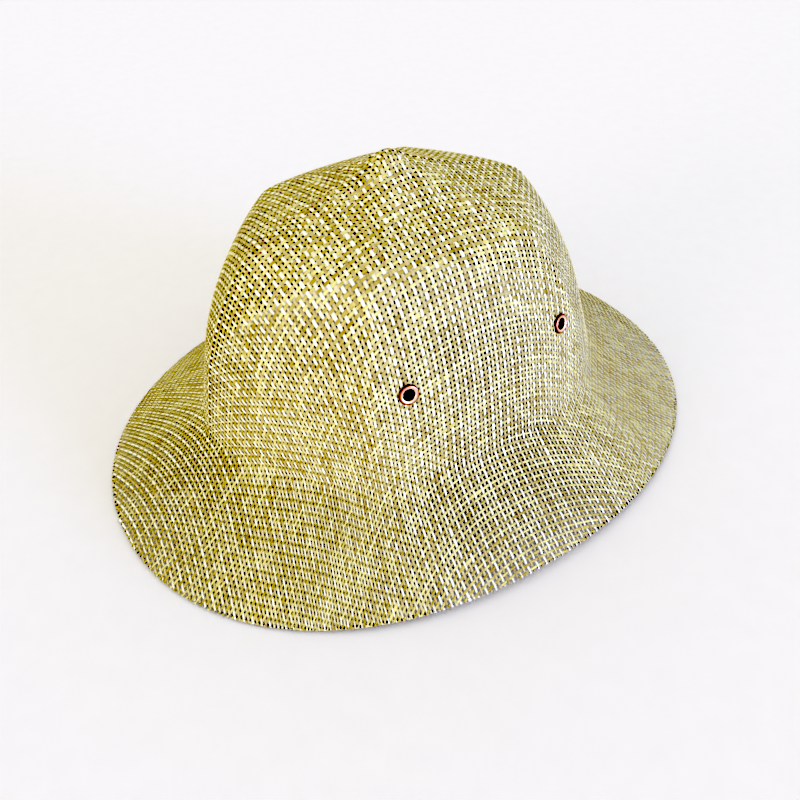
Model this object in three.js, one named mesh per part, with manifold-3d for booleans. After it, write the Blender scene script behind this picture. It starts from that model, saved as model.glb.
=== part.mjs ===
// A ventilated beekeeping hat of woven straw. One pressed shell makes the six-ridged crown and the
// down-sloping brim, and a rolled metal eyelet sits near each end of both side panels.
// Millimetres, +Z up, front towards -Y. The rim stands on z = 0, and the origin is its middle.
import * as THREE from 'three';
import { mergeVertices } from 'three/addons/utils/BufferGeometryUtils.js';
import Module from 'manifold-3d';

const wasm = await Module();
wasm.setup();
const { clamp, degToRad, lerp, smoothstep } = THREE.MathUtils;

// Rim, an oval seen from above: power 2 is an ellipse, and more is squarer
const rimHalfLength = 172;
const rimHalfWidth = 133;
const rimPower = 2.15;
// It lies on the ground around front and back, and rises a little at the sides
const groundedAngle = 20;
const sideLift = 2.6;

// Crease between crown and brim, another oval, a little forward of the rim's
const creaseHalfLength = 116.5;
const creaseHalfWidth = 90;
const creasePower = 2.06;
const creaseHeight = 42;
const creaseY = -3;

// The crown's middle drifts forward as it rises to the nub on top
const apexHeight = 163.2;
const apexY = -12.5;

// Ridges run down the front, the back and this far to each side of both
const ridgeAngle = 49.5;
// Between them the panels are flattened: panelHollow fades from the top down, wallHollow from the crease up
const panelHollow = 0.12;
const hollowPower = 0.75;
const wallHollow = 0.04;

// Straw wall, and the folded rim's upright edge and flat underside
const wall = 1.8;
const rimEdge = 1.4;
const rimBevel = 0.4;
const rimFlat = 3;

// Sections from the nub down to the rim. crown is the share of the crease oval's reach, flare is the
// share of the way from there out to the rim oval, and height is above the ground.
const sections = [
  { crown: 0, flare: 0, height: apexHeight },
  { crown: 0.03, flare: 0, height: 162.6 },
  { crown: 0.06, flare: 0, height: 160.6 },
  { crown: 0.105, flare: 0, height: 157.6 },
  { crown: 0.313, flare: 0, height: 148 },
  { crown: 0.54, flare: 0, height: 139.4 },
  { crown: 0.659, flare: 0, height: 132.5 },
  { crown: 0.776, flare: 0, height: 115.2 },
  { crown: 0.885, flare: 0, height: 90.7 },
  { crown: 0.948, flare: 0, height: 66.2 },
  { crown: 0.984, flare: 0, height: 49.5 },
  { crown: 0.997, flare: 0.003, height: 42.8 },
  { crown: 1, flare: 0.035, height: 40 },
  { crown: 1, flare: 1, height: rimEdge },
];
const rowsPerSection = 2;
// Steps around the hat: 4.5 degrees each, so that every ridge falls on a step
const stepsAround = 80;

// Eyelets: where they sit on the side panels, and their rolled section. The two of a side lie eyeletAngle
// before and behind a line that is eyeletMiddle round from the front.
const eyeletHeight = 89;
const eyeletMiddle = 91.4;
const eyeletAngle = 32;
const eyeletBore = 2.8;
const eyeletBarrel = 3.1;
const eyeletFlange = 4.8;
const eyeletBackFlange = 4.4;
const eyeletRoll = 0.75;
const eyeletSteps = 24;
// Air between an eyelet and the straw that it clasps
const clearance = 0.3;

const straw = { color: 0xc9b877, roughness: 0.75, metalness: 0 };
const antiqueBrass = { color: 0xb48a63, roughness: 0.35, metalness: 1 };

function ovalReach(angle, halfLength, halfWidth, power) {
  const along = Math.abs(Math.cos(angle)) / halfLength;
  const across = Math.abs(Math.sin(angle)) / halfWidth;
  return (along ** power + across ** power) ** (-1 / power);
}

// 0 on a ridge, 1 in the middle of a panel
function panelShare(angle) {
  const ridge = degToRad(ridgeAngle);
  const fromEnd = Math.acos(Math.abs(Math.cos(angle)));
  const across = fromEnd < ridge ? fromEnd / ridge : (fromEnd - ridge) / (Math.PI - 2 * ridge);
  return 4 * across * (1 - across);
}

function rimLift(angle) {
  const grounded = Math.sin(degToRad(groundedAngle)) ** 2;
  return sideLift * smoothstep(Math.sin(angle) ** 2, grounded, 1);
}

// Angles are measured in plan from the front, towards +X
function planPoint(angle, reach, centreY, height) {
  return new THREE.Vector3(reach * Math.sin(angle), centreY - reach * Math.cos(angle), height);
}

// One smooth curve down the front of the hat, in real sizes so that its bends keep their true shape
const flareWidth = rimHalfLength - creaseHalfLength;
const meridian = new THREE.CatmullRomCurve3(
  sections.map((row) => new THREE.Vector3(row.crown * creaseHalfLength, row.flare * flareWidth, row.height)),
  false,
  'centripetal',
);

// Outer surface: down runs from 0 at the nub to 1 at the rim
function surfacePoint(angle, down) {
  const row = meridian.getPoint(clamp(down, 0, 1));
  const crown = row.x / creaseHalfLength;
  const flare = row.y / flareWidth;
  const rise = clamp((row.z - creaseHeight) / (apexHeight - creaseHeight), 0, 1);
  const topHollow = panelHollow * Math.max(0, 1 - crown) ** hollowPower;
  const hollow = (topHollow + wallHollow * crown * crown) * panelShare(angle);
  const creaseReach = ovalReach(angle, creaseHalfLength, creaseHalfWidth, creasePower);
  const onCrown = planPoint(angle, crown * creaseReach * (1 - hollow), lerp(creaseY, apexY, rise), row.z);
  const onRim = planPoint(angle, ovalReach(angle, rimHalfLength, rimHalfWidth, rimPower), 0, row.z);
  const point = onCrown.lerp(onRim, flare);
  point.z += rimLift(angle) * flare * flare;
  return point;
}

function surfaceNormal(angle, down) {
  const step = 1e-3;
  const around = surfacePoint(angle + step, down).sub(surfacePoint(angle - step, down));
  const descent = surfacePoint(angle, down + step).sub(surfacePoint(angle, down - step));
  return descent.cross(around).normalize();
}

function innerPoint(angle, down) {
  return surfacePoint(angle, down).addScaledVector(surfaceNormal(angle, down), -wall);
}

function rimUnderside(angle, inset) {
  const reach = ovalReach(angle, rimHalfLength, rimHalfWidth, rimPower) - inset;
  return planPoint(angle, reach, 0, rimLift(angle));
}

// Rings of points from the nub down the outside, under the rim and up the inside
function shellRings() {
  const rows = (sections.length - 1) * rowsPerSection;
  const angles = Array.from({ length: stepsAround }, (_, step) => (2 * Math.PI * step) / stepsAround);
  const ringOf = (place) => angles.map(place);
  const outside = [];
  const inside = [];
  for (let row = 1; row <= rows; row += 1) {
    outside.push(ringOf((angle) => surfacePoint(angle, row / rows)));
    if (row < rows) inside.unshift(ringOf((angle) => innerPoint(angle, row / rows)));
  }
  const bevel = ringOf((angle) => rimUnderside(angle, rimBevel));
  const heel = ringOf((angle) => rimUnderside(angle, rimFlat));
  return [...outside, bevel, heel, ...inside];
}

function shellGeometry() {
  const rings = shellRings();
  const top = new THREE.Vector3(0, apexY, apexHeight);
  const points = [top, ...rings.flat(), top.clone().setZ(apexHeight - wall)];
  const last = points.length - 1;
  const index = [];
  const at = (ring, step) => 1 + ring * stepsAround + (step % stepsAround);
  for (let step = 0; step < stepsAround; step += 1) {
    index.push(0, at(0, step), at(0, step + 1));
    for (let ring = 0; ring < rings.length - 1; ring += 1) {
      const [a, b] = [at(ring, step), at(ring, step + 1)];
      const [c, d] = [at(ring + 1, step), at(ring + 1, step + 1)];
      index.push(a, c, b, b, c, d);
    }
    index.push(at(rings.length - 1, step), last, at(rings.length - 1, step + 1));
  }
  const geometry = new THREE.BufferGeometry().setFromPoints(points);
  geometry.setIndex(index);
  return geometry;
}

// Rolled section of an eyelet, from the bore round the back, up the barrel and over the face
function eyeletGeometry() {
  const seat = wall / 2 + clearance;
  const face = seat + eyeletRoll;
  const back = seat + 0.8 * eyeletRoll;
  const crest = (eyeletBore + eyeletFlange) / 2;
  const backCrest = (eyeletBore + eyeletBackFlange) / 2;
  const profile = [
    [eyeletBore, seat],
    [eyeletBore, -seat],
    [lerp(eyeletBore, backCrest, 0.35), -lerp(seat, back, 0.75)],
    [backCrest, -back],
    [lerp(backCrest, eyeletBackFlange, 0.7), -lerp(seat, back, 0.7)],
    [eyeletBackFlange, -seat],
    [eyeletBarrel, -seat],
    [eyeletBarrel, seat],
    [eyeletFlange, seat],
    [lerp(crest, eyeletFlange, 0.7), lerp(seat, face, 0.7)],
    [crest, face],
    [lerp(eyeletBore, crest, 0.35), lerp(seat, face, 0.75)],
    [eyeletBore, seat],
  ];
  return new THREE.LatheGeometry(profile.map(([x, y]) => new THREE.Vector2(x, y)), eyeletSteps);
}

function eyeletHoleGeometry() {
  const radius = eyeletBarrel + clearance;
  return new THREE.CylinderGeometry(radius, radius, 6 * wall, eyeletSteps);
}

// Where the outside of the crown passes a height
function downAtHeight(height) {
  let above = 0;
  let below = sections.findIndex((row) => row.flare > 0) / (sections.length - 1);
  for (let halving = 0; halving < 40; halving += 1) {
    const middle = (above + below) / 2;
    if (meridian.getPoint(middle).z > height) above = middle;
    else below = middle;
  }
  return above;
}

// An eyelet's frame: its own +Y along the wall's outward normal, its middle in the middle of the wall
function eyeletFrame(angle) {
  const down = downAtHeight(eyeletHeight);
  const normal = surfaceNormal(angle, down);
  const position = surfacePoint(angle, down).addScaledVector(normal, -wall / 2);
  const quaternion = new THREE.Quaternion().setFromUnitVectors(new THREE.Vector3(0, 1, 0), normal);
  return { position, quaternion };
}

function toSolid(geometry) {
  const bare = geometry.clone();
  bare.deleteAttribute('normal');
  bare.deleteAttribute('uv');
  const merged = mergeVertices(bare, 1e-4);
  const vertProperties = new Float32Array(merged.attributes.position.array);
  const triVerts = new Uint32Array(merged.index.array);
  return new wasm.Manifold(new wasm.Mesh({ numProp: 3, vertProperties, triVerts }));
}

function toGeometry(solid) {
  const { vertProperties, triVerts } = solid.getMesh();
  const geometry = new THREE.BufferGeometry();
  geometry.setAttribute('position', new THREE.BufferAttribute(new Float32Array(vertProperties), 3));
  geometry.setIndex(new THREE.BufferAttribute(new Uint32Array(triVerts), 1));
  geometry.computeVertexNormals();
  return geometry;
}

function addPiece(group, name, geometry, finish) {
  const mesh = new THREE.Mesh(geometry, new THREE.MeshStandardMaterial(finish));
  mesh.name = name;
  group.add(mesh);
  return mesh;
}

const side = degToRad(eyeletMiddle);
const turn = degToRad(eyeletAngle);
const eyelets = [
  { name: 'eyelet_right_front', angle: side - turn },
  { name: 'eyelet_right_back', angle: side + turn },
  { name: 'eyelet_left_front', angle: turn - side },
  { name: 'eyelet_left_back', angle: -turn - side },
];

const hat = new THREE.Group();
let shell = toSolid(shellGeometry());
for (const { name, angle } of eyelets) {
  const { position, quaternion } = eyeletFrame(angle);
  const eyelet = addPiece(hat, name, eyeletGeometry(), antiqueBrass);
  eyelet.position.copy(position);
  eyelet.quaternion.copy(quaternion);
  eyelet.updateMatrix();
  shell = shell.subtract(toSolid(eyeletHoleGeometry().applyMatrix4(eyelet.matrix)));
}
addPiece(hat, 'hat_shell', toGeometry(shell), straw);

export default hat;
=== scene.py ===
import bpy
import numpy as np
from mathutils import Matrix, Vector


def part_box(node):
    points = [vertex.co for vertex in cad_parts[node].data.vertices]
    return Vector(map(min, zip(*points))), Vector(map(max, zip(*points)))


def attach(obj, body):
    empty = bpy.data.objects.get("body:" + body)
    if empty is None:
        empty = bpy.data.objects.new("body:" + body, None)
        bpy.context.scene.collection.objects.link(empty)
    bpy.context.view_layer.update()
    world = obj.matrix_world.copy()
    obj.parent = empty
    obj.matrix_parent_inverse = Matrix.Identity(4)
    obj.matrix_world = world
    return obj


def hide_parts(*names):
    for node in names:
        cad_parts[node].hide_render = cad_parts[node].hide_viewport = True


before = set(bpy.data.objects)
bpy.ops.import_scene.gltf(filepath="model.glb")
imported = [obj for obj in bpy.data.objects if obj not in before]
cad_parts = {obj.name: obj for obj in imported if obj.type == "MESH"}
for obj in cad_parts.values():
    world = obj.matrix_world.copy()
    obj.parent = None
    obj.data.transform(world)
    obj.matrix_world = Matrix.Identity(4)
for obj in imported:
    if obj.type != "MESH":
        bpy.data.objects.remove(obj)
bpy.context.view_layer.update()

mm = 0.001
tiny = 1e-9  # keeps divisions from zero
rng = np.random.default_rng(11)


# Colours, nodes and meshes

def linear(hexColour):
    # sRGB hex to the linear RGBA that Blender's sockets take
    parts = [int(hexColour[k:k + 2], 16)/255 for k in (1, 3, 5)]
    return [c/12.92 if c <= 0.04045 else ((c + 0.055)/1.055)**2.4 for c in parts] + [1.0]


def addNode(material, kind, inputs=None, **settings):
    # a node with its settings; an input is a value, or the socket to link from
    node = material.node_tree.nodes.new(kind)
    for name, value in settings.items():
        setattr(node, name, value)
    for socket, value in (inputs or {}).items():
        if isinstance(value, bpy.types.NodeSocket):
            material.node_tree.links.new(value, node.inputs[socket])
        else:
            node.inputs[socket].default_value = value
    return node


def newMaterial(name):
    material = bpy.data.materials.new(name)
    material.use_nodes = True
    material.node_tree.nodes.clear()
    return material


def newMesh(name, points, quads, attributes, material, edgeOf=None):
    # joined mesh from arrays, in millimetres, with one float attribute per name;
    # an edge is sharp where both of its points have the same number in edgeOf, other than 0
    mesh = bpy.data.meshes.new(name)
    mesh.vertices.add(len(points))
    mesh.vertices.foreach_set("co", np.ascontiguousarray(points*mm, np.float32).ravel())
    mesh.loops.add(4*len(quads))
    mesh.loops.foreach_set("vertex_index", np.ascontiguousarray(quads, np.int32).ravel())
    mesh.polygons.add(len(quads))
    mesh.polygons.foreach_set("loop_start", np.arange(0, 4*len(quads), 4, dtype=np.int32))
    mesh.polygons.foreach_set("use_smooth", np.ones(len(quads), bool))
    mesh.update(calc_edges=True)
    for label, values in attributes.items():
        layer = mesh.attributes.new(label, "FLOAT", "POINT")
        layer.data.foreach_set("value", np.ascontiguousarray(values, np.float32).ravel())
    if edgeOf is not None:
        ends = np.empty(2*len(mesh.edges), np.int32)
        mesh.edges.foreach_get("vertices", ends)
        ends = edgeOf[ends.reshape(-1, 2)]
        sharp = (ends[:, 0] == ends[:, 1]) & (ends[:, 0] > 0)
        mesh.attributes.new("sharp_edge", "BOOLEAN", "EDGE").data.foreach_set("value", sharp)
    mesh.materials.append(material)
    thing = bpy.data.objects.new(name, mesh)
    bpy.context.scene.collection.objects.link(thing)
    return thing


# Form of the pressed hat, in millimetres: front is -Y, the wearer's left is +X

shellLow, shellHigh = [np.array(corner)/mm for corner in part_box("hat_shell")]
hatForm = {
    "rimHalfLength": (shellHigh[1] - shellLow[1])/2,
    "rimHalfWidth": (shellHigh[0] - shellLow[0])/2,
    "rimPower": 2.15,           # 2 is an ellipse, more is squarer
    "creaseHalfLength": 116.5,  # where the crown meets the brim
    "creaseHalfWidth": 90.0,
    "creasePower": 2.06,
    "creaseHeight": 42.0,
    "creaseY": -3.0,
    "apexHeight": shellHigh[2],
    "apexY": -12.5,
    "ridgeAngle": 49.5,         # degrees from the front and back ridges to the others
    "panelHollow": 0.12,        # how far the panels sink between the ridges
    "hollowPower": 0.75,
    "wallHollow": 0.04,         # and how far on the walls, down to the crease
    "groundedAngle": 20.0,      # the rim touches the ground this far round each end
    "sideLift": 2.6,            # and rises this much at the sides
    "spareCloth": 240.0,        # the flat cloth goes on this far past the rim until it is trimmed
    "spareStep": 2.0,
}
# share of the crown's reach, share of the brim's flare, height
formSections = [
    (0.000, 0.000, 163.2), (0.030, 0.000, 162.6), (0.060, 0.000, 160.6), (0.105, 0.000, 157.6),
    (0.313, 0.000, 148.0), (0.540, 0.000, 139.4), (0.659, 0.000, 132.5), (0.776, 0.000, 115.2),
    (0.885, 0.000, 90.7), (0.948, 0.000, 66.2), (0.984, 0.000, 49.5), (0.997, 0.003, 42.8),
    (1.000, 0.035, 40.0), (1.000, 1.000, 1.4),
]
flareReach = hatForm["rimHalfLength"] - hatForm["creaseHalfLength"]
creaseOval = [hatForm["crease" + part] for part in ("HalfLength", "HalfWidth", "Power")]
rimOval = [hatForm["rim" + part] for part in ("HalfLength", "HalfWidth", "Power")]


def smoothRows(rows, perSpan=60):
    # centripetal Catmull-Rom curve through the rows
    ends = np.vstack([2*rows[0] - rows[1], rows, 2*rows[-1] - rows[-2]])
    w = np.linspace(0, 1, perSpan, endpoint=False)[:, None]
    spans = []
    for k in range(len(rows) - 1):
        a, b, c, d = ends[k:k + 4]
        u, v, x = [np.sqrt(np.linalg.norm(step)) for step in (b - a, c - b, d - c)]
        leave = ((b - a)/u - (c - a)/(u + v) + (c - b)/v)*v
        arrive = ((c - b)/v - (d - b)/(v + x) + (d - c)/x)*v
        spans.append(b + leave*w + (3*(c - b) - 2*leave - arrive)*w**2 + (2*(b - c) + leave + arrive)*w**3)
    return np.vstack(spans + [rows[-1:]])


profile = smoothRows(np.array(formSections)*[hatForm["creaseHalfLength"], flareReach, 1])
rimSlope = (profile[-1] - profile[-5])/np.linalg.norm(profile[-1] - profile[-5])
spareRun = np.arange(hatForm["spareStep"], hatForm["spareCloth"] + 1, hatForm["spareStep"])
meridian = np.vstack([profile, profile[-1] + np.outer(spareRun, rimSlope)])
meridianRun = np.hypot(np.diff(meridian[:, 0] + meridian[:, 1]), np.diff(meridian[:, 2]))
meridianRun = np.concatenate([[0], np.cumsum(meridianRun)])
rimRun = meridianRun[len(profile) - 1]
creaseRun = np.interp(-hatForm["creaseHeight"], -meridian[:, 2], meridianRun)


def ovalReach(cos, sin, halfLength, halfWidth, power):
    return ((np.abs(cos)/halfLength)**power + (np.abs(sin)/halfWidth)**power)**(-1/power)


def onHat(p, q):
    # the hat's outside, p and q being the run along the cloth from the apex, to +X and to the back
    run = np.hypot(p, q)
    angle = np.arctan2(p, -q)
    sin, cos = np.sin(angle), np.cos(angle)
    crown, flare, z = [np.interp(run, meridianRun, meridian[:, k]) for k in range(3)]
    crown, flare = crown/hatForm["creaseHalfLength"], flare/flareReach
    ridge = np.radians(hatForm["ridgeAngle"])
    fromEnd = np.arccos(np.minimum(1, np.abs(cos)))
    panel = np.where(fromEnd < ridge, fromEnd/ridge, (fromEnd - ridge)/(np.pi - 2*ridge))
    hollow = hatForm["panelHollow"]*np.maximum(0, 1 - crown)**hatForm["hollowPower"]
    hollow = (hollow + hatForm["wallHollow"]*crown**2)*4*panel*(1 - panel)
    reach = crown*(1 - hollow)*ovalReach(cos, sin, *creaseOval)
    rim = ovalReach(cos, sin, *rimOval)
    rise = np.clip((z - hatForm["creaseHeight"])/(hatForm["apexHeight"] - hatForm["creaseHeight"]), 0, 1)
    middle = hatForm["creaseY"] + (hatForm["apexY"] - hatForm["creaseY"])*rise
    ground = np.sin(np.radians(hatForm["groundedAngle"]))**2
    lift = np.clip((sin**2 - ground)/(1 - ground), 0, 1)
    lift = hatForm["sideLift"]*lift*lift*(3 - 2*lift)*flare**2
    return np.stack([(1 - flare)*reach*sin + flare*rim*sin,
                     (1 - flare)*(middle - reach*cos) - flare*rim*cos, z + lift], -1)


def slopes(p, q, step=0.5):
    # how the outside moves with p and with q
    return ((onHat(p + step, q) - onHat(p - step, q))/(2*step),
            (onHat(p, q + step) - onHat(p, q - step))/(2*step))


def unit(vectors):
    return vectors/np.maximum(np.linalg.norm(vectors, axis=-1, keepdims=True), tiny)


# Draping: a net of straw, square when flat, is drawn over the form until its strands lie easy

drapeFeel = {
    "crossPitch": 2.24,   # mm between strands that run from side to side
    "longPitch": 2.42,    # mm between strands that run from front to back
    "shear": 0.06,        # how much the cloth minds leaning, against 1 for stretching
    "bend": 0.03,         # how much a strand minds curving in the cloth
    "spareHold": 0.05,    # pull of the cloth past the rim
    "ease": (0.90, 1.0, 1.16),       # share of the pitch at the apex, on the wall and at the rim
    "easeRun": (0.0, 90.0, 220.0),   # mm from the apex to these
    "clothHalf": (254.0, 276.0),     # half the flat cloth, across and along
    "clothPower": 3.0,
    "firstMiddle": -6.0,             # y that the cloth is first spread from
    "halvings": 30,                  # to find where it lands
    "levels": ((8, 2500), (4, 700)),  # strands per net step, rounds of easing
    "holdPast": 14.0,                # mm past the rim where the pull is down to spareHold
    "holdFade": 10.0,                # mm over which it goes down
    "momentum": 0.95,
    "pace": 0.6,                     # share of its pull that a knot follows in a round
    "leap": 0.2,                     # most that it moves, in steps of the net
    "soften": 1e-3,                  # steadies the apex, where p and q meet
}


def flatToForm(x, y):
    # first lay: run that puts the cloth straight above its flat place
    middle = drapeFeel["firstMiddle"]
    far = np.hypot(x, y - middle) + tiny
    ux, uy = x/far, (y - middle)/far
    near, away = np.zeros_like(far), np.full_like(far, meridianRun[-1])
    for _ in range(drapeFeel["halvings"]):
        half = (near + away)/2
        place = onHat(ux*half, uy*half)
        past = np.hypot(place[..., 0], place[..., 1] - middle) > far
        near, away = np.where(past, near, half), np.where(past, half, away)
    return np.stack([ux*near, uy*near], -1)


def cubicWeights(places, count):
    # Catmull-Rom weights that read count values in a row at fractional places
    first = np.clip(np.floor(places).astype(int), 1, count - 3)
    t = places - first
    weights = np.zeros((len(places), count))
    terms = ((-t + 2*t**2 - t**3)/2, (2 - 5*t**2 + 3*t**3)/2, (t + 4*t**2 - 3*t**3)/2, (t**3 - t**2)/2)
    for shift, term in zip((-1, 0, 1, 2), terms):
        weights[np.arange(len(places)), first + shift] = term
    return weights


def easeNet(net, cloth, pitches, rounds):
    # moves the knots along the form until the pulls of the strands even out
    longStep, crossStep = pitches
    shear, bend = drapeFeel["shear"], drapeFeel["bend"]
    left, right, low, high = np.s_[:, :-1], np.s_[:, 1:], np.s_[:-1], np.s_[1:]
    links = [(left, right, 1, longStep), (low, high, 1, crossStep),
             (np.s_[:-1, :-1], np.s_[1:, 1:], shear, np.hypot(longStep, crossStep)),
             (np.s_[1:, :-1], np.s_[:-1, 1:], shear, np.hypot(longStep, crossStep))]
    triples = [(np.s_[:, :-2], np.s_[:, 1:-1], np.s_[:, 2:]), (np.s_[:-2], np.s_[1:-1], np.s_[2:])]
    speed = np.zeros_like(net)
    for _ in range(rounds):
        p, q = net[..., 0], net[..., 1]
        run = np.hypot(p, q)
        place = onHat(p, q)
        alongP, alongQ = slopes(p, q)
        hold = (rimRun + drapeFeel["holdPast"] - run)/drapeFeel["holdFade"]
        hold = np.clip(hold, drapeFeel["spareHold"], 1)*cloth
        ease = np.interp(run, drapeFeel["easeRun"], drapeFeel["ease"])
        pull = np.zeros_like(place)
        for here, there, stiff, rest in links:
            span = place[there] - place[here]
            length = np.linalg.norm(span, axis=-1) + tiny
            rest = rest*(ease[here] + ease[there])/2
            force = span*(stiff*(1 - rest/length)*hold[here]*hold[there])[..., None]
            pull[here] += force
            pull[there] -= force
        for before, at, after in triples:
            curve = (place[after] - 2*place[at] + place[before])*bend
            curve *= (cloth[before]*cloth[at]*cloth[after])[..., None]
            pull[at] += 2*curve
            pull[before] -= curve
            pull[after] -= curve
        pull /= 4 + 4*shear + 12*bend  # the stiffness that meets at a knot
        pp, qq, pq = [(a*b).sum(-1) for a, b in ((alongP, alongP), (alongQ, alongQ), (alongP, alongQ))]
        pp, qq = pp + drapeFeel["soften"], qq + drapeFeel["soften"]
        towardP, towardQ = (alongP*pull).sum(-1), (alongQ*pull).sum(-1)
        step = np.stack([qq*towardP - pq*towardQ, pp*towardQ - pq*towardP], -1)/(pp*qq - pq**2)[..., None]
        leap = drapeFeel["leap"]*crossStep
        speed = np.clip(drapeFeel["momentum"]*speed + drapeFeel["pace"]*step, -leap, leap)
        net = net + speed*cloth[..., None]
        net = (net + net[:, ::-1]*[-1, 1])/2  # left and right stay alike
    return net


def drapeCloth():
    # a coarse net first, then a finer one that starts from it
    net = None
    for coarse, rounds in drapeFeel["levels"]:
        longStep, crossStep = drapeFeel["longPitch"]*coarse, drapeFeel["crossPitch"]*coarse
        across = int(np.ceil(drapeFeel["clothHalf"][0]/longStep))
        along = int(np.ceil(drapeFeel["clothHalf"][1]/crossStep))
        i, j = np.arange(-across, across + 1), np.arange(-along, along + 1)
        x, y = np.meshgrid(i*longStep, j*crossStep)
        cloth = np.abs(x/drapeFeel["clothHalf"][0])**drapeFeel["clothPower"]
        cloth = cloth + np.abs(y/drapeFeel["clothHalf"][1])**drapeFeel["clothPower"] <= 1
        if net is None:
            net = flatToForm(x, y + hatForm["apexY"])
        else:
            columns = cubicWeights(i*coarse/lastCoarse + lastAcross, net.shape[1])
            rows = cubicWeights(j*coarse/lastCoarse + lastAlong, net.shape[0])
            net = np.einsum("aj,jid,bi->abd", rows, net, columns)
        net = easeNet(net, cloth.astype(float), (longStep, crossStep), rounds)
        lastCoarse, lastAcross, lastAlong = coarse, across, along
    return net, coarse


clothNet, netStep = drapeCloth()
print("draped net:", clothNet.shape[:2], "knots, every", netStep, "strands")


# Weave: each strand is a flat closed ribbon that goes over and under in turn

weave = {
    "thick": 0.30,         # mm, one strand
    "rise": 0.15,          # mm that a strand lies above or below the cloth's middle
    "depth": 0.5,          # mm from the hat's outside to the cloth's middle
    "fill": 0.62,          # most of the pitch that a strand may take on the wall
    "roofWidth": 1.15,     # strands are pressed this much wider on top
    "roofRun": (80.0, 120.0),    # mm from the apex, where that ends
    "brimWidth": 0.83,     # and drawn this much thinner in the brim
    "brimRun": (-10.0, 12.0),    # mm from the crease, where that begins
    "foldRadius": 0.32,    # mm, the rim is turned under
    "foldInset": 0.75,     # mm from the rim to where the turn starts
    "hemDepth": 1.2,       # mm that runs back inside
    "hemSteps": 9,
    "foldCross": 0.66,     # strands that meet the rim this squarely turn under with it, the others stop
    "widthSpread": 0.05,   # from strand to strand, and along each
    "widthRun": 12,        # half-crossings over which a width, place or tone changes
    "wander": 0.07,        # mm sideways
    "wanderRun": 10,
    "strandTone": 0.06,    # spread of tone from strand to strand
    "alongTone": 0.17,     # and along each
    "toneRun": 5,
    "slubShare": 0.010,    # share of crossings with a thick place
    "slubSize": (0.3, 0.9),
    "slubRun": 13,         # half-crossings that it takes up
    "eyeletClear": 3.6,    # mm round an eyelet's middle that is cut away
    "grainShift": 37.3,    # mm, so that no two strands show the same fibres
    "paintedShade": (0.08, 0.0, 0.08, 2.0),  # painted shade at a strand's side, outside, side and inside: a little at the sides, full on the inside, where the hollow of the hat is in shade
}
foldStart = rimRun - weave["foldInset"]
hemEnd = foldStart + np.pi*weave["foldRadius"] + weave["hemDepth"]


def onCloth(p, q):
    # the cloth's middle and its outward direction; past the rim it turns under and runs back inside
    run = np.maximum(np.hypot(p, q), tiny)
    past = run - foldStart
    turn = np.clip(past/weave["foldRadius"], 0, np.pi)
    outer = np.minimum(run, foldStart) - np.maximum(past - np.pi*weave["foldRadius"], 0)
    p, q = p*outer/run, q*outer/run
    alongP, alongQ = slopes(p, q)
    out = unit(np.cross(alongP, alongQ))
    down = unit(alongP*p[..., None] + alongQ*q[..., None])
    sin, cos = np.sin(turn)[..., None], np.cos(turn)[..., None]
    middle = onHat(p, q) - out*weave["depth"] + weave["foldRadius"]*(down*sin - out*(1 - cos))
    return middle, out*cos + down*sin


def smoothNoise(shape, span):
    # unit noise along each strand, with features about span stations long
    kernel = np.hanning(2*span + 1)
    rough = rng.standard_normal((shape[0], shape[1] + 2*span))
    return np.stack([np.convolve(row, kernel/np.linalg.norm(kernel), "valid") for row in rough])


eyeletSeat = {
    "height": 89.0,   # mm above the ground
    "middle": 91.4,   # degrees round from the front to between the two of a side
    "angle": 32.0,    # degrees from there to each
    "reach": 8.0,     # mm in and out that its hole is cut
    "halvings": 40,   # to find the height
}


def eyeletPlace(angle):
    # the outside of the wall and its outward direction at an eyelet
    angle = np.radians(angle)
    high, low = 0.0, rimRun
    for _ in range(eyeletSeat["halvings"]):
        half = (high + low)/2
        above = onHat(half*np.sin(angle), -half*np.cos(angle))[2] > eyeletSeat["height"]
        high, low = (half, low) if above else (high, half)
    p, q = half*np.sin(angle), -half*np.cos(angle)
    return onHat(p, q), unit(np.cross(*slopes(p, q)))


eyeletPlaces = {
    "eyelet_right_front": eyeletPlace(eyeletSeat["middle"] - eyeletSeat["angle"]),
    "eyelet_right_back": eyeletPlace(eyeletSeat["middle"] + eyeletSeat["angle"]),
    "eyelet_left_front": eyeletPlace(eyeletSeat["angle"] - eyeletSeat["middle"]),
    "eyelet_left_back": eyeletPlace(-eyeletSeat["angle"] - eyeletSeat["middle"]),
}


def ribbonRings(middle, out, ahead, wide):
    # four points round a strand at each station: side, outside, side, inside
    half = unit(np.cross(out, ahead))*(wide/2)[..., None]
    lift = out*weave["thick"]/2
    return np.stack([middle + half, middle + lift, middle - half, middle - lift], 2)


def lengthAlong(middle):
    # mm along each strand from its first station
    return np.cumsum(np.linalg.norm(np.diff(middle, axis=1, prepend=middle[:, :1]), axis=-1), axis=1)


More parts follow.
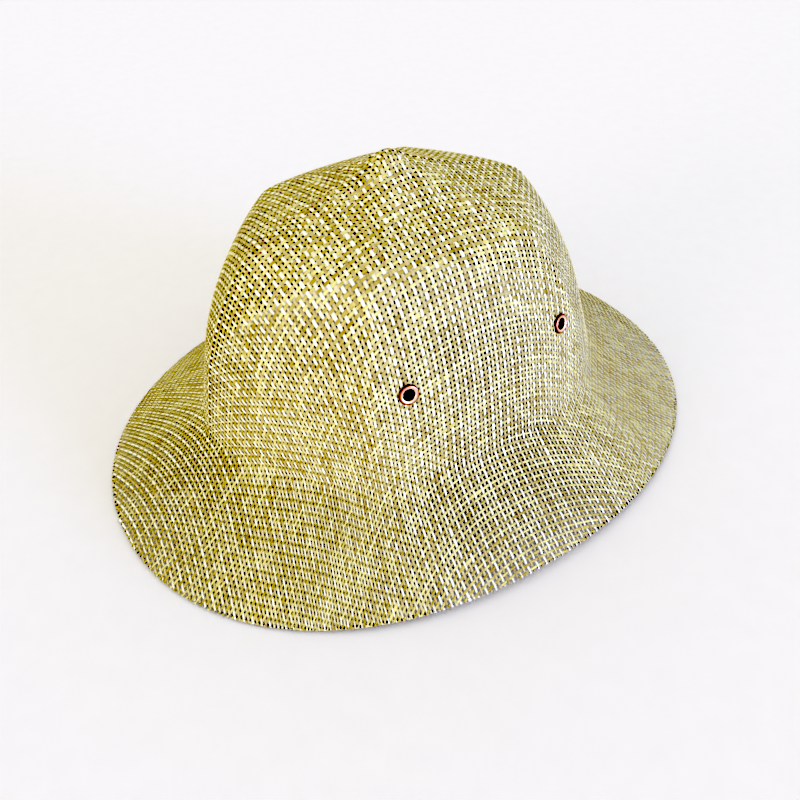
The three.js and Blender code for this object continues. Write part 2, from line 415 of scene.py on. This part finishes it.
def layHems(run, keep, strands, wide, tone, rise):
    # the last of each strand that leaves over the rim, turned under with it
    found = []
    for step in (1, -1):
        inside = keep & ~np.roll(keep, -step, 1)
        inside[:, [0, -1]] = False
        row, last = np.nonzero(inside)
        start, onward = run[row, last], run[row, last + step] - run[row, last]
        away = (unit(start)*unit(onward)).sum(-1)
        found.append([part[away > weave["foldCross"]] for part in (row, last, start, unit(onward), away)])
    row, last, start, onward, away = [np.concatenate(parts) for parts in zip(*found)]
    begun = np.hypot(start[:, 0], start[:, 1])
    share = np.linspace(0, 1, weave["hemSteps"])
    path = start[:, None] + onward[:, None]*((hemEnd - begun)/away)[:, None, None]*share[:, None]
    middle, out = onCloth(path[..., 0], path[..., 1])
    settled = np.clip(1 - 3*share, 0, 1)  # over and under end in the first third
    middle = middle + out*(rise[row, last][:, None]*settled)[..., None]
    ahead = unit(np.gradient(middle, axis=1))
    wide = np.repeat(wide[row, last][:, None], len(share), 1)
    rings = ribbonRings(middle, out, ahead, wide)
    tone = np.repeat(tone[row, last][:, None], len(share), 1)
    return strands[row], rings, np.ones(tone.shape, bool), tone, lengthAlong(middle)


def layStrands(family, widths):
    # every strand of a family as rings of four points, with what the materials read
    rows, columns = clothNet.shape[:2]
    counts = {"cross": (rows, columns), "long": (columns, rows)}[family]
    reach = [netStep*(count - 1)//2 - netStep for count in counts]
    strands = np.arange(-reach[0], reach[0] + 1)
    stations = np.arange(-2*reach[1], 2*reach[1])/2 + 0.25  # either side of each crossing
    across = cubicWeights(strands/netStep + (counts[0] - 1)/2, counts[0])
    along = cubicWeights(stations/netStep + (counts[1] - 1)/2, counts[1])
    net = clothNet if family == "cross" else clothNet.transpose(1, 0, 2)
    run = np.einsum("aj,jid,bi->abd", across, net, along)
    middle, out = onCloth(run[..., 0], run[..., 1])
    shape = middle.shape[:2]

    ahead = unit(np.gradient(middle, axis=1))
    side = unit(np.cross(out, ahead))
    apart = np.abs((np.gradient(onHat(run[..., 0], run[..., 1]), axis=0)*side).sum(-1))
    over = 1 - 2*((strands[:, None] + np.round(stations).astype(int)) % 2)
    over = over if family == "cross" else -over
    spread = rng.standard_normal((shape[0], 1)) + smoothNoise(shape, weave["widthRun"])
    thick = 1 + weave["widthSpread"]*spread
    slubs = (rng.random(shape) < weave["slubShare"]/2)*rng.uniform(*weave["slubSize"], shape)
    thick += np.stack([np.convolve(row, np.hanning(weave["slubRun"]), "same") for row in slubs])
    width = np.where(strands % 2 == 0, *widths)[:, None]
    wide = np.minimum(width*thick, weave["fill"]*apart*np.sqrt(thick))
    far = np.hypot(run[..., 0], run[..., 1])
    brimStart, brimFull = [creaseRun + past for past in weave["brimRun"]]
    pressed = (weave["roofWidth"], 1, 1, weave["brimWidth"])
    wide = wide*np.interp(far, (*weave["roofRun"], brimStart, brimFull), pressed)
    tone = 0.5 + weave["strandTone"]*rng.standard_normal((shape[0], 1))
    tone = tone + weave["alongTone"]*smoothNoise(shape, weave["toneRun"])

    middle = middle + side*(weave["wander"]*smoothNoise(shape, weave["wanderRun"]))[..., None]
    middle = middle + out*(weave["rise"]*over)[..., None]
    rings = ribbonRings(middle, out, ahead, wide)
    keep = far < foldStart
    hems = layHems(run, keep, strands, wide, tone, weave["rise"]*over)
    for place, axis in eyeletPlaces.values():
        above = (middle - place) @ axis
        gap = np.linalg.norm(middle - place - above[..., None]*axis, axis=-1)
        keep &= (gap > weave["eyeletClear"]) | (np.abs(above) > eyeletSeat["reach"])
    return (strands, rings, keep, tone, lengthAlong(middle)), hems


def ribbonMesh(laid, chosen):
    # points, quads and attributes of the chosen strands, each run closed at both ends
    strands, rings, keep, tone, length = laid
    chosen = chosen(strands)
    rings, keep, tone, length = [part[chosen] for part in (rings, keep, tone, length)]
    paired = keep[:, :-1] & keep[:, 1:]
    number = np.arange(keep.size*4).reshape(*keep.shape, 4)
    here, there = number[:, :-1][paired], number[:, 1:][paired]
    turned = (1, 2, 3, 0)
    walls = np.stack([here, here[:, turned], there[:, turned], there], -1).reshape(-1, 4)
    edge = np.zeros((len(keep), 1), bool)
    starts = np.hstack([paired, edge]) & ~np.hstack([edge, paired])
    ends = np.hstack([edge, paired]) & ~np.hstack([paired, edge])
    quads = np.vstack([walls, number[starts][:, ::-1], number[ends]])
    used, quads = np.unique(quads, return_inverse=True)
    shape = (*keep.shape, 4)
    attributes = {
        "tone": np.broadcast_to(np.clip(tone, 0, 1)[..., None], shape),
        "along": np.broadcast_to((length + weave["grainShift"]*strands[chosen][:, None])[..., None], shape),
        "across": np.broadcast_to([1.0, 0.0, -1.0, 0.0], shape),
        # painted shade at each ring point: dark on the inside, a little at the sides
        "paintedShade": np.broadcast_to(weave["paintedShade"], shape),
    }
    attributes = {label: values.reshape(-1)[used] for label, values in attributes.items()}
    edgeOf = np.array([1, 0, 2, 0])[used % 4]  # sharp along both sides, so a strand looks flat
    return rings.reshape(-1, 3)[used], quads.reshape(-1, 4), attributes, edgeOf


def strandPiece(name, laid, chosen, material):
    # the chosen strands of a family and their turned ends as one mesh
    meshes = [ribbonMesh(part, chosen) for part in laid]
    points = np.vstack([mesh[0] for mesh in meshes])
    quads = np.vstack([meshes[0][1], meshes[1][1] + len(meshes[0][0])])
    attributes = {label: np.concatenate([mesh[2][label] for mesh in meshes]) for label in meshes[0][2]}
    edgeOf = np.concatenate([mesh[3] for mesh in meshes])
    piece = newMesh(name, points, quads, attributes, material, edgeOf)
    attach(piece, "root")
    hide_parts("hat_shell")
    print(name, 2*len(piece.data.polygons), "triangles")
    return piece


strawFinish = {
    "inside": "#1E170C",   # painted shade: the colour that a strand's inside and sides go toward, as the hollow of the hat is in shade
    "fibreLength": 3.0,    # mm
    "fibreWidth": 0.22,    # mm, coarser than real fibres so that they show from near by
    "bumpStrength": 0.5,
    "bumpDepth": 0.08,     # mm
    "ior": 1.5,
}
# long strands: natural straw, golden; width in mm
naturalStraw = {"width": 1.23, "deep": "#BAA870", "main": "#D7CA90", "pale": "#F2EBAC",
                "roughness": 0.55, "fibreShade": 0.5}
# cross strands, one in two: bleached straw, nearly white
bleachedStraw = {"width": 1.36, "deep": "#EAE4C6", "main": "#F9F6E4", "pale": "#FFFFF6",
                 "roughness": 0.5, "fibreShade": 0.4}
# and the others: straw darkened by the sun
tannedStraw = {"width": 1.20, "deep": "#C3B189", "main": "#DED3AD", "pale": "#F2ECCB",
               "roughness": 0.58, "fibreShade": 0.5}


def strawMaterial(name, look):
    # dried stalk, split and flattened: satin, with fibres that run along it and slow changes of tone, and
    # painted shade on its inside and towards its sides
    material = newMaterial(name)
    tone, along, across, paintedShade = [
        addNode(material, "ShaderNodeAttribute", attribute_name=label).outputs["Fac"]
        for label in ("tone", "along", "across", "paintedShade")]
    perLength, perWidth = 1/strawFinish["fibreLength"], look["width"]/2/strawFinish["fibreWidth"]
    fibreX = addNode(material, "ShaderNodeMath", {0: along, 1: perLength}, operation="MULTIPLY")
    fibreY = addNode(material, "ShaderNodeMath", {0: across, 1: perWidth}, operation="MULTIPLY")
    fibrePlace = addNode(material, "ShaderNodeCombineXYZ", {"X": fibreX.outputs[0], "Y": fibreY.outputs[0]})
    fibre = addNode(material, "ShaderNodeTexNoise", {
        "Vector": fibrePlace.outputs[0], "Scale": 1.0, "Detail": 2.0})
    mixed = addNode(material, "ShaderNodeMath", {
        0: fibre.outputs["Fac"], 1: look["fibreShade"], 2: tone}, operation="MULTIPLY_ADD")
    ramp = addNode(material, "ShaderNodeValToRGB", {"Fac": mixed.outputs[0]})
    ramp.color_ramp.elements[0].position = look["fibreShade"]/2
    ramp.color_ramp.elements[1].position = 1 + look["fibreShade"]/2
    ramp.color_ramp.elements[0].color = linear(look["deep"])
    ramp.color_ramp.elements[1].color = linear(look["pale"])
    middle = ramp.color_ramp.elements.new((1 + look["fibreShade"])/2)
    middle.color = linear(look["main"])
    bump = addNode(material, "ShaderNodeBump", {
        "Height": fibre.outputs["Fac"], "Strength": strawFinish["bumpStrength"],
        "Distance": strawFinish["bumpDepth"]*mm})
    # painted shade: the colour goes to the dark inside colour on the strand's inside and partly at its
    # sides
    withPaintedShade = addNode(material, "ShaderNodeMix", {
        "Factor": paintedShade, "A": ramp.outputs["Color"], "B": linear(strawFinish["inside"])}, data_type="RGBA")
    shader = addNode(material, "ShaderNodeBsdfPrincipled", {
        "Base Color": withPaintedShade.outputs["Result"], "Roughness": look["roughness"], "IOR": strawFinish["ior"],
        "Normal": bump.outputs["Normal"]})
    addNode(material, "ShaderNodeOutputMaterial", {"Surface": shader.outputs["BSDF"]})
    return material


laidLong = layStrands("long", (naturalStraw["width"], naturalStraw["width"]))
laidCross = layStrands("cross", (bleachedStraw["width"], tannedStraw["width"]))
naturalMaterial = strawMaterial("natural straw, split and dried", naturalStraw)
bleachedMaterial = strawMaterial("bleached straw, split and dried", bleachedStraw)
tannedMaterial = strawMaterial("tanned straw, split and dried", tannedStraw)
middleStrands = 24  # long strands either side of the middle that make the middle piece
# right and left as seen from in front of the hat, like the names of the eyelets
strandPiece("long_strands_left", laidLong, lambda k: k < -middleStrands, naturalMaterial)
strandPiece("long_strands_middle", laidLong, lambda k: np.abs(k) <= middleStrands, naturalMaterial)
strandPiece("long_strands_right", laidLong, lambda k: k > middleStrands, naturalMaterial)
strandPiece("bleached_strands_front", laidCross, lambda k: (k % 2 == 0) & (k < 0), bleachedMaterial)
strandPiece("bleached_strands_back", laidCross, lambda k: (k % 2 == 0) & (k >= 0), bleachedMaterial)
strandPiece("tanned_strands_front", laidCross, lambda k: (k % 2 == 1) & (k < 0), tannedMaterial)
strandPiece("tanned_strands_back", laidCross, lambda k: (k % 2 == 1) & (k >= 0), tannedMaterial)


# Eyelets: rolled from thin sheet, their lips rubbed and painted near white as a highlight

eyelet = {
    "bore": 2.8, "barrel": 3.1, "flange": 4.8, "backFlange": 4.4,  # radii, mm
    "wall": 1.8, "clearance": 0.05, "roll": 0.75,  # mm; the roll stands this far off the wall
    "rollPower": 0.7,    # under 1 the roll is fuller than a half round
    "steps": 64, "rollSteps": 14,
    "lipTurn": 0.9,      # share of the roll over which the rubbed lip and its painted highlight fade
    "barrelLip": 0.1,
    # the last colour, for the lip, is rubbed metal painted near white as a highlight
    "patina": "#5E3826", "metal": "#D2A183", "rubAndHighlight": "#FFEDE2",
    "patinaTo": 0.2, "metalAt": 0.55, "rubAndHighlightFrom": 0.95,  # along the wear and the painted highlight
    "roughness": 0.3,
    "pitSize": 0.25,     # mm, coarser than real pits so that they show from near by
    "pitWear": 0.3, "pitStrength": 0.25, "pitDepth": 0.05,  # the depth in mm
}


def eyeletMaterial():
    # antique brass, stamped and rolled: brown in the low places, rubbed where the lip stands proud, with a
    # painted highlight there that goes near white
    material = newMaterial("antique brass, stamped and rolled")
    lip = addNode(material, "ShaderNodeAttribute", attribute_name="lip").outputs["Fac"]
    place = addNode(material, "ShaderNodeTexCoord").outputs["Object"]
    pits = addNode(material, "ShaderNodeTexNoise", {
        "Vector": place, "Scale": 1/(eyelet["pitSize"]*mm), "Detail": 3.0})
    # pits plus the lip's rub and painted highlight pick the colour
    wearAndHighlight = addNode(material, "ShaderNodeMath", {
        0: pits.outputs["Fac"], 1: eyelet["pitWear"], 2: lip}, operation="MULTIPLY_ADD")
    ramp = addNode(material, "ShaderNodeValToRGB", {"Fac": wearAndHighlight.outputs[0]})
    ramp.color_ramp.elements[0].position = eyelet["patinaTo"]
    ramp.color_ramp.elements[0].color = linear(eyelet["patina"])
    ramp.color_ramp.elements[1].position = eyelet["rubAndHighlightFrom"]
    ramp.color_ramp.elements[1].color = linear(eyelet["rubAndHighlight"])
    ramp.color_ramp.elements.new(eyelet["metalAt"]).color = linear(eyelet["metal"])
    bump = addNode(material, "ShaderNodeBump", {
        "Height": pits.outputs["Fac"], "Strength": eyelet["pitStrength"],
        "Distance": eyelet["pitDepth"]*mm})
    shader = addNode(material, "ShaderNodeBsdfPrincipled", {
        "Base Color": ramp.outputs["Color"], "Metallic": 1.0, "Roughness": eyelet["roughness"],
        "Normal": bump.outputs["Normal"]})
    addNode(material, "ShaderNodeOutputMaterial", {"Surface": shader.outputs["BSDF"]})
    return material


def eyeletSection():
    # closed section, (radius, height, lip rub and painted highlight), from the bore over the face, down the
    # barrel and round the back
    seat = eyelet["wall"]/2 + eyelet["clearance"]
    swing = np.linspace(0, np.pi, eyelet["rollSteps"])
    rows = []
    for flange, sign in ((eyelet["flange"], 1), (eyelet["backFlange"], -1)):
        middle, half = (eyelet["bore"] + flange)/2, (flange - eyelet["bore"])/2
        roll = np.stack([middle - half*np.cos(swing),
                         seat + eyelet["roll"]*np.sin(swing)**eyelet["rollPower"],
                         0.5 + 0.5*np.cos(eyelet["lipTurn"]*swing)], -1)
        roll = np.vstack([roll, [(eyelet["barrel"], seat, eyelet["barrelLip"])]])
        roll[:, 2] *= sign > 0  # only the outer lip is rubbed and carries the painted highlight
        rows.append((roll if sign > 0 else roll[::-1])*[1, sign, 1])
    return np.vstack(rows)


def buildEyelets():
    section = eyeletSection()
    material = eyeletMaterial()
    turn = np.linspace(0, 2*np.pi, eyelet["steps"], endpoint=False)
    for name, (place, axis) in eyeletPlaces.items():
        flat = unit(np.cross(axis, [0, 0, 1.0]))
        up = np.cross(flat, axis)
        radial = np.cos(turn)[:, None]*flat + np.sin(turn)[:, None]*up
        middle = place - axis*eyelet["wall"]/2
        points = middle + radial[:, None]*section[None, :, :1] + axis*section[None, :, 1:2]
        number = np.arange(points.shape[0]*points.shape[1]).reshape(points.shape[:2])
        onward = np.roll(number, -1, 0)
        quads = np.stack([number, np.roll(number, -1, 1), np.roll(onward, -1, 1), onward], -1)
        points, quads = points.reshape(-1, 3), quads.reshape(-1, 4)
        lip = np.broadcast_to(section[:, 2], number.shape)
        piece = newMesh(name + "_rolled", points, quads, {"lip": lip}, material)
        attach(piece, "root")
        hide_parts(name)
    print("eyelets:", len(eyeletPlaces))


buildEyelets()


# Studio: pale floor, soft light, the photograph's camera

studio = {
    "floorColour": "#FBFAFC", "floorShade": "#F7F6F8", "floorRoughness": 0.9,
    "floorSize": 8.0,      # m
    "floorGrain": 12.0,    # mm
    "cameraPlace": (0.2709, -0.1875, 0.3129),
    "cameraAim": (-0.606, 0.407, -0.683),
    "lens": 34.39, "sensor": 36.0,  # mm
    "nearest": 0.01,       # m
    # soft lamps, far off and low: a cool one to the right and behind, a weaker one in front
    "lamps": (
        {"name": "key", "from": (0.9029, 0.421, 0.0872), "colour": "#A4B8FF", "power": 2.65},
        {"name": "fill", "from": (0.1727, -0.9794, 0.1045), "colour": "#FCF2F2", "power": 0.85},
    ),
    "lampSpread": 30.0,    # degrees across
    "skyColour": "#FFFEF8", "skyStrength": 0.95,
    "blackLevel": 0.28,    # the photograph's shadows are pressed to black
}


def buildFloor():
    # matt painted board, with a grain that hardly shows
    side = studio["floorSize"]/2/mm
    points = np.array([(-side, -side, 0), (side, -side, 0), (side, side, 0), (-side, side, 0)])
    material = newMaterial("painted board, rolled matt")
    place = addNode(material, "ShaderNodeTexCoord").outputs["Object"]
    grain = addNode(material, "ShaderNodeTexNoise", {
        "Vector": place, "Scale": 1/(studio["floorGrain"]*mm), "Detail": 3.0})
    ramp = addNode(material, "ShaderNodeValToRGB", {"Fac": grain.outputs["Fac"]})
    ramp.color_ramp.elements[0].color = linear(studio["floorShade"])
    ramp.color_ramp.elements[1].color = linear(studio["floorColour"])
    shader = addNode(material, "ShaderNodeBsdfPrincipled", {
        "Base Color": ramp.outputs["Color"], "Roughness": studio["floorRoughness"]})
    addNode(material, "ShaderNodeOutputMaterial", {"Surface": shader.outputs["BSDF"]})
    floor = newMesh("floor", points, np.array([[0, 1, 2, 3]]), {}, material)


def buildLight():
    for lamp in studio["lamps"]:
        light = bpy.data.lights.new(lamp["name"], "SUN")
        light.angle = np.radians(studio["lampSpread"])
        light.energy = lamp["power"]
        light.color = linear(lamp["colour"])[:3]
        stand = bpy.data.objects.new(lamp["name"], light)
        stand.location = lamp["from"]
        stand.rotation_mode = "QUATERNION"
        stand.rotation_quaternion = Vector(lamp["from"]).to_track_quat("Z", "Y")
        bpy.context.scene.collection.objects.link(stand)
    world = bpy.data.worlds.new("studio")
    world.use_nodes = True
    world.node_tree.nodes["Background"].inputs["Color"].default_value = linear(studio["skyColour"])
    world.node_tree.nodes["Background"].inputs["Strength"].default_value = studio["skyStrength"]
    bpy.context.scene.world = world


def buildCamera():
    lens = bpy.data.cameras.new("camera")
    lens.sensor_width = studio["sensor"]
    lens.lens = studio["lens"]
    lens.clip_start = studio["nearest"]
    camera = bpy.data.objects.new("camera", lens)
    camera.location = studio["cameraPlace"]
    camera.rotation_mode = "QUATERNION"
    camera.rotation_quaternion = Vector(studio["cameraAim"]).to_track_quat("-Z", "Y")
    bpy.context.scene.collection.objects.link(camera)
    bpy.context.scene.camera = camera


buildFloor()
buildLight()
buildCamera()
grade = bpy.context.scene.view_settings
grade.view_transform = "Standard"
grade.use_curve_mapping = True
grade.curve_mapping.black_level = [studio["blackLevel"]]*3
print("studio set")
